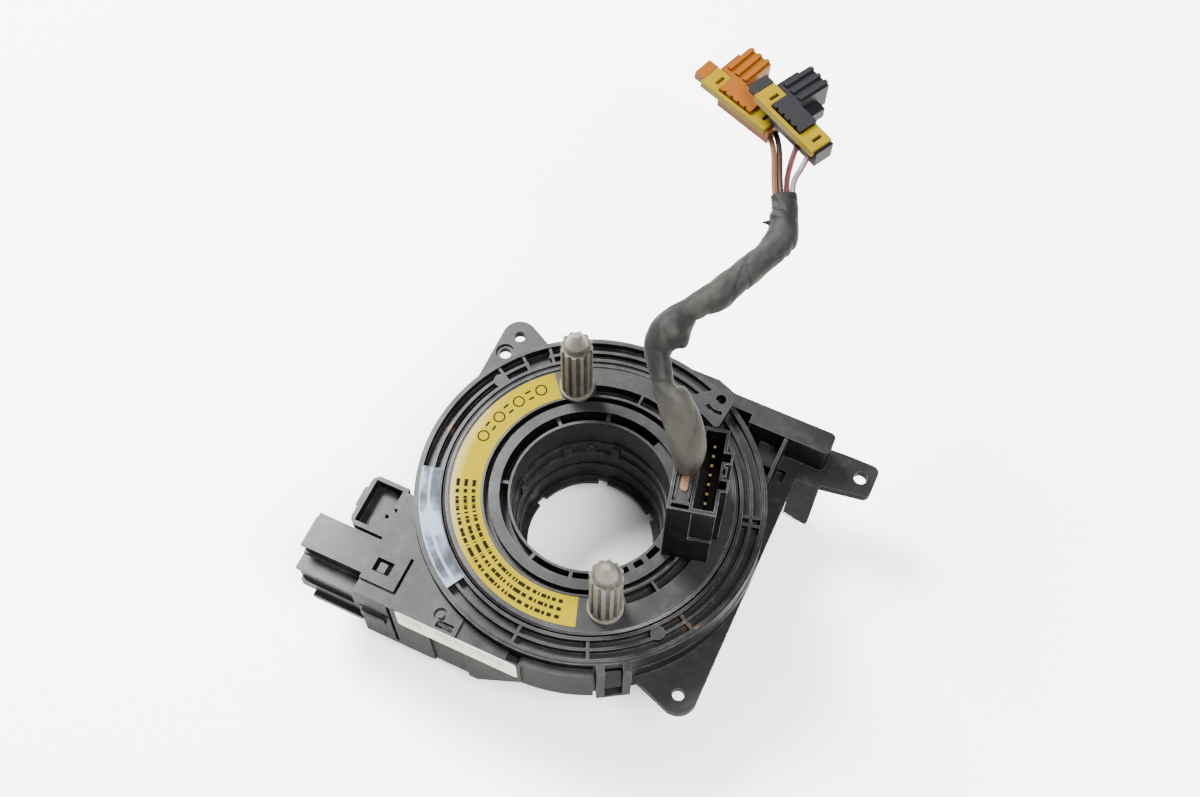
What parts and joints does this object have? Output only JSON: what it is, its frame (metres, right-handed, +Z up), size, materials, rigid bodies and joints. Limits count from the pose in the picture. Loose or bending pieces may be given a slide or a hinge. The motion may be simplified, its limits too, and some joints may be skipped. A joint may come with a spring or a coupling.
{
  "type": "steering clock spring",
  "caption": "Ring-shaped steering clock spring: a rotor with two fluted pegs and a header turns in a flanged housing, with a sleeved pigtail and two small plugs.",
  "frame": {"origin": "on the steering axis, at the level of the bottom cover's rim, which stands on the surface", "axes": "+Z up along the steering axis, towards the steering wheel; +X towards the flange's long ear, +Y towards the flange's stiff beam"},
  "size_m": [0.1338, 0.1564, 0.1192],
  "materials": {
    "housing": "fine satin moulded plastic",
    "rotor": "fine satin moulded plastic",
    "connector": "satin moulded plastic",
    "carrier": "satin moulded plastic",
    "terminal": "satin moulded plastic",
    "contact": "plated contact",
    "copper": "bare copper alloy",
    "tape": "glossy film",
    "white_label": "smooth paper label",
    "yellow_label": "smooth film label",
    "film": "laminated film",
    "peg": "natural moulded nylon",
    "sleeve": "heat-shrunk tubing",
    "lead_brown": "insulation",
    "lead_dark": "insulation",
    "lead_red": "insulation",
    "lead_grey": "insulation",
    "tan_plug": "moulded plastic",
    "dark_plug": "moulded plastic",
    "lock": "moulded plastic"
  },
  "bodies": {
    "stator": {"lower_housing": "housing", "bottom_cover": "housing", "cover_ring": "housing", "main_connector_shell": "connector", "side_tray": "connector", "main_connector_pins": "contact", "tape_patch": "tape", "front_label": "white_label", "flat_cable": "film", "cable_terminal_outer": "terminal"},
    "rotor": {"rotor_disc": "rotor", "notched_ring": "rotor", "header_housing": "rotor", "header_pins": "contact", "drive_peg_a": "peg", "drive_peg_b": "peg", "rotor_label": "yellow_label", "harness_carrier": "carrier", "earth_tab": "copper", "cable_terminal_inner": "terminal", "harness_sleeve": "sleeve", "lead_brown": "lead_brown", "lead_dark": "lead_dark", "lead_red": "lead_red", "lead_grey": "lead_grey", "brown_plug": "tan_plug", "black_plug": "dark_plug"},
    "brown_plug_lock": {"brown_lock": "lock"},
    "black_plug_lock": {"black_lock": "lock"}
  },
  "joints": [
    {"name": "rotor_turn", "type": "hinge", "parent": "stator", "child": "rotor", "pos_m": [0, 0, 0.039], "axis": [0, 0, 1], "range_deg": [-1170, 1170]},
    {"name": "brown_lock_slide", "type": "slide", "parent": "rotor", "child": "brown_plug_lock", "axis": [-0.342, -0.9397, 0], "range_m": [0, 0.002]},
    {"name": "black_lock_slide", "type": "slide", "parent": "rotor", "child": "black_plug_lock", "axis": [-0.4617, -0.887, 0], "range_m": [0, 0.002]}
  ]
}
